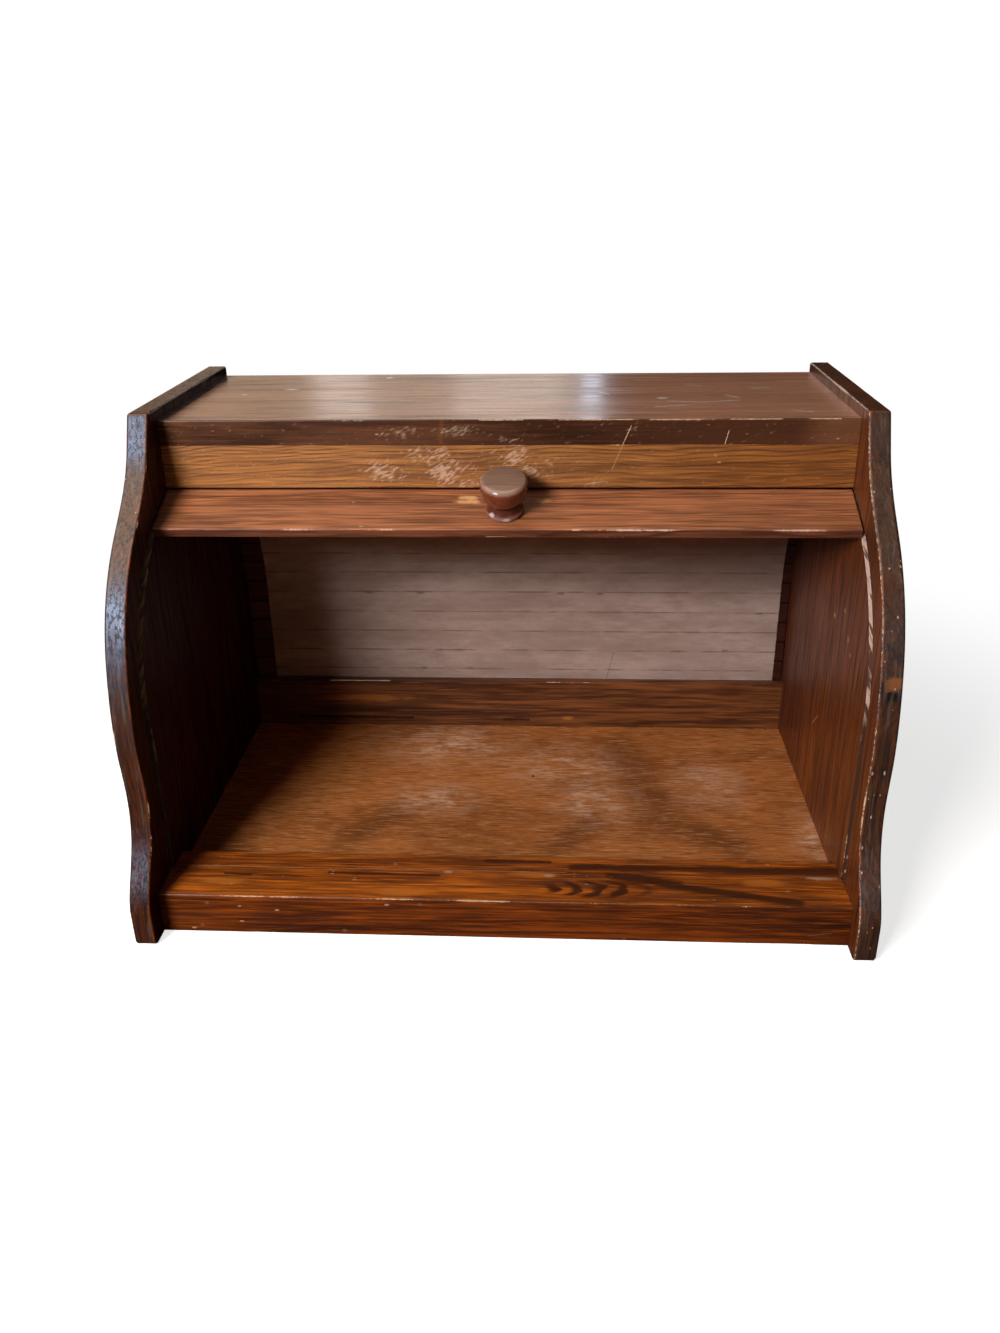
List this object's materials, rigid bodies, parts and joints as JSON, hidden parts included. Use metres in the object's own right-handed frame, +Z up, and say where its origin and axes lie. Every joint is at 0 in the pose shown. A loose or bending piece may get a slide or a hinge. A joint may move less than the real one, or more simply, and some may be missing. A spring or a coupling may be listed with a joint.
{
  "type": "roll-top bread box",
  "caption": "Dark-stained pine bread box with shaped sides and a canvas-backed slat curtain that rolls over an arch behind a fascia; turned knob on its lead rail.",
  "frame": {"origin": "on the counter, below the middle of the box's outline", "axes": "+X to the right of someone facing the box, -Y to the front, +Z up"},
  "size_m": [0.45, 0.2868, 0.3039],
  "materials": {
    "side_wood": "satin",
    "top_wood": "gloss",
    "fascia_wood": "gloss",
    "rail_wood": "gloss",
    "back_rail_wood": "satin",
    "floor_plywood": "satin",
    "back_board": "matte",
    "nail_steel": "satin",
    "lead_rail_wood": "gloss",
    "canvas": "matte",
    "knob_wood": "gloss",
    "slat_wood": "satin"
  },
  "bodies": {
    "carcass": {"side_panel_right": "side_wood", "side_panel_left": "side_wood", "top_board": "top_wood", "front_fascia": "fascia_wood", "front_rail": "rail_wood", "back_rail": "back_rail_wood", "floor_board": "floor_plywood", "back_panel": "back_board", "side_nails": "nail_steel", "back_panel_brads": "nail_steel"},
    "lead_rail": {"lead_rail": "lead_rail_wood", "lead_canvas": "canvas", "knob": "knob_wood", "knob_screw": "nail_steel"},
    "slat_01": {"slat_01": "slat_wood", "canvas_01": "canvas"},
    "slat_02": {"slat_02": "slat_wood", "canvas_02": "canvas"},
    "slat_03": {"slat_03": "slat_wood", "canvas_03": "canvas"},
    "slat_04": {"slat_04": "slat_wood", "canvas_04": "canvas"},
    "slat_05": {"slat_05": "slat_wood", "canvas_05": "canvas"},
    "slat_06": {"slat_06": "slat_wood", "canvas_06": "canvas"},
    "slat_07": {"slat_07": "slat_wood", "canvas_07": "canvas"},
    "slat_08": {"slat_08": "slat_wood", "canvas_08": "canvas"},
    "slat_09": {"slat_09": "slat_wood", "canvas_09": "canvas"},
    "slat_10": {"slat_10": "slat_wood", "canvas_10": "canvas"},
    "slat_11": {"slat_11": "slat_wood", "canvas_11": "canvas"},
    "slat_12": {"slat_12": "slat_wood", "canvas_12": "canvas"},
    "slat_13": {"slat_13": "slat_wood", "canvas_13": "canvas"},
    "slat_14": {"slat_14": "slat_wood", "canvas_14": "canvas"},
    "slat_15": {"slat_15": "slat_wood", "canvas_15": "canvas"},
    "slat_16": {"slat_16": "slat_wood", "canvas_16": "canvas"},
    "slat_17": {"slat_17": "slat_wood", "canvas_17": "canvas"}
  },
  "joints": [
    {"name": "lead_rail_roll", "type": "hinge", "parent": "carcass", "child": "lead_rail", "pos_m": [0, 0.08167, 0.09234], "axis": [1, 0, 0], "range_deg": [0, 67.33]},
    {"name": "slat_01_roll", "type": "hinge", "parent": "carcass", "child": "slat_01", "pos_m": [0, 0.04998, 0.10789], "axis": [1, 0, 0], "range_deg": [0, 82.07]},
    {"name": "slat_02_roll", "type": "hinge", "parent": "carcass", "child": "slat_02", "pos_m": [0, 0.03695, 0.1162], "axis": [1, 0, 0], "range_deg": [0, 90.51]},
    {"name": "slat_03_roll", "type": "hinge", "parent": "carcass", "child": "slat_03", "pos_m": [0, 0.02684, 0.12451], "axis": [1, 0, 0], "range_deg": [0, 98.96]},
    {"name": "slat_04_roll", "type": "hinge", "parent": "carcass", "child": "slat_04", "pos_m": [0, 0.01908, 0.13281], "axis": [1, 0, 0], "range_deg": [0, 107.4]},
    {"name": "slat_05_roll", "type": "hinge", "parent": "carcass", "child": "slat_05", "pos_m": [0, 0.01515, 0.13841], "axis": [1, 0, 0], "range_deg": [0, 113]},
    {"name": "slat_06_roll", "type": "hinge", "parent": "carcass", "child": "slat_06", "pos_m": [0, 0.0151, 0.1385], "axis": [1, 0, 0], "range_deg": [0, 113.09]},
    {"name": "slat_07_roll", "type": "hinge", "parent": "carcass", "child": "slat_07", "pos_m": [0, 0.0151, 0.1385], "axis": [1, 0, 0], "range_deg": [0, 113.09]},
    {"name": "slat_08_roll", "type": "hinge", "parent": "carcass", "child": "slat_08", "pos_m": [0, 0.0151, 0.1385], "axis": [1, 0, 0], "range_deg": [0, 113.09]},
    {"name": "slat_09_roll", "type": "hinge", "parent": "carcass", "child": "slat_09", "pos_m": [0, 0.0151, 0.1385], "axis": [1, 0, 0], "range_deg": [0, 113.09]},
    {"name": "slat_10_roll", "type": "hinge", "parent": "carcass", "child": "slat_10", "pos_m": [0, 0.0151, 0.1385], "axis": [1, 0, 0], "range_deg": [0, 113.09]},
    {"name": "slat_11_roll", "type": "hinge", "parent": "carcass", "child": "slat_11", "pos_m": [0, 0.0151, 0.1385], "axis": [1, 0, 0], "range_deg": [0, 113.09]},
    {"name": "slat_12_roll", "type": "hinge", "parent": "carcass", "child": "slat_12", "pos_m": [0, 0.0151, 0.1385], "axis": [1, 0, 0], "range_deg": [0, 113.09]},
    {"name": "slat_13_roll", "type": "hinge", "parent": "carcass", "child": "slat_13", "pos_m": [0, 0.01289, 0.13509], "axis": [1, 0, 0], "range_deg": [0, 109.71]},
    {"name": "slat_14_roll", "type": "hinge", "parent": "carcass", "child": "slat_14", "pos_m": [0, 0.00572, 0.1268], "axis": [1, 0, 0], "range_deg": [0, 101.29]},
    {"name": "slat_15_roll", "type": "hinge", "parent": "carcass", "child": "slat_15", "pos_m": [0, -0.00369, 0.1185], "axis": [1, 0, 0], "range_deg": [0, 92.84]},
    {"name": "slat_16_roll", "type": "hinge", "parent": "carcass", "child": "slat_16", "pos_m": [0, -0.01585, 0.11019], "axis": [1, 0, 0], "range_deg": [0, 84.4]},
    {"name": "slat_17_roll", "type": "hinge", "parent": "carcass", "child": "slat_17", "pos_m": [0, -0.03149, 0.10188], "axis": [1, 0, 0], "range_deg": [0, 75.96]}
  ],
  "couplings": [
    {"joint": "slat_01_roll", "follows": "lead_rail_roll", "ratio": 1.2185},
    {"joint": "slat_02_roll", "follows": "lead_rail_roll", "ratio": 1.3439},
    {"joint": "slat_03_roll", "follows": "lead_rail_roll", "ratio": 1.4693},
    {"joint": "slat_04_roll", "follows": "lead_rail_roll", "ratio": 1.5947},
    {"joint": "slat_05_roll", "follows": "lead_rail_roll", "ratio": 1.678},
    {"joint": "slat_06_roll", "follows": "lead_rail_roll", "ratio": 1.6792},
    {"joint": "slat_07_roll", "follows": "lead_rail_roll", "ratio": 1.6792},
    {"joint": "slat_08_roll", "follows": "lead_rail_roll", "ratio": 1.6792},
    {"joint": "slat_09_roll", "follows": "lead_rail_roll", "ratio": 1.6792},
    {"joint": "slat_10_roll", "follows": "lead_rail_roll", "ratio": 1.6792},
    {"joint": "slat_11_roll", "follows": "lead_rail_roll", "ratio": 1.6792},
    {"joint": "slat_12_roll", "follows": "lead_rail_roll", "ratio": 1.6792},
    {"joint": "slat_13_roll", "follows": "lead_rail_roll", "ratio": 1.629},
    {"joint": "slat_14_roll", "follows": "lead_rail_roll", "ratio": 1.5039},
    {"joint": "slat_15_roll", "follows": "lead_rail_roll", "ratio": 1.3785},
    {"joint": "slat_16_roll", "follows": "lead_rail_roll", "ratio": 1.2531},
    {"joint": "slat_17_roll", "follows": "lead_rail_roll", "ratio": 1.1277}
  ]
}
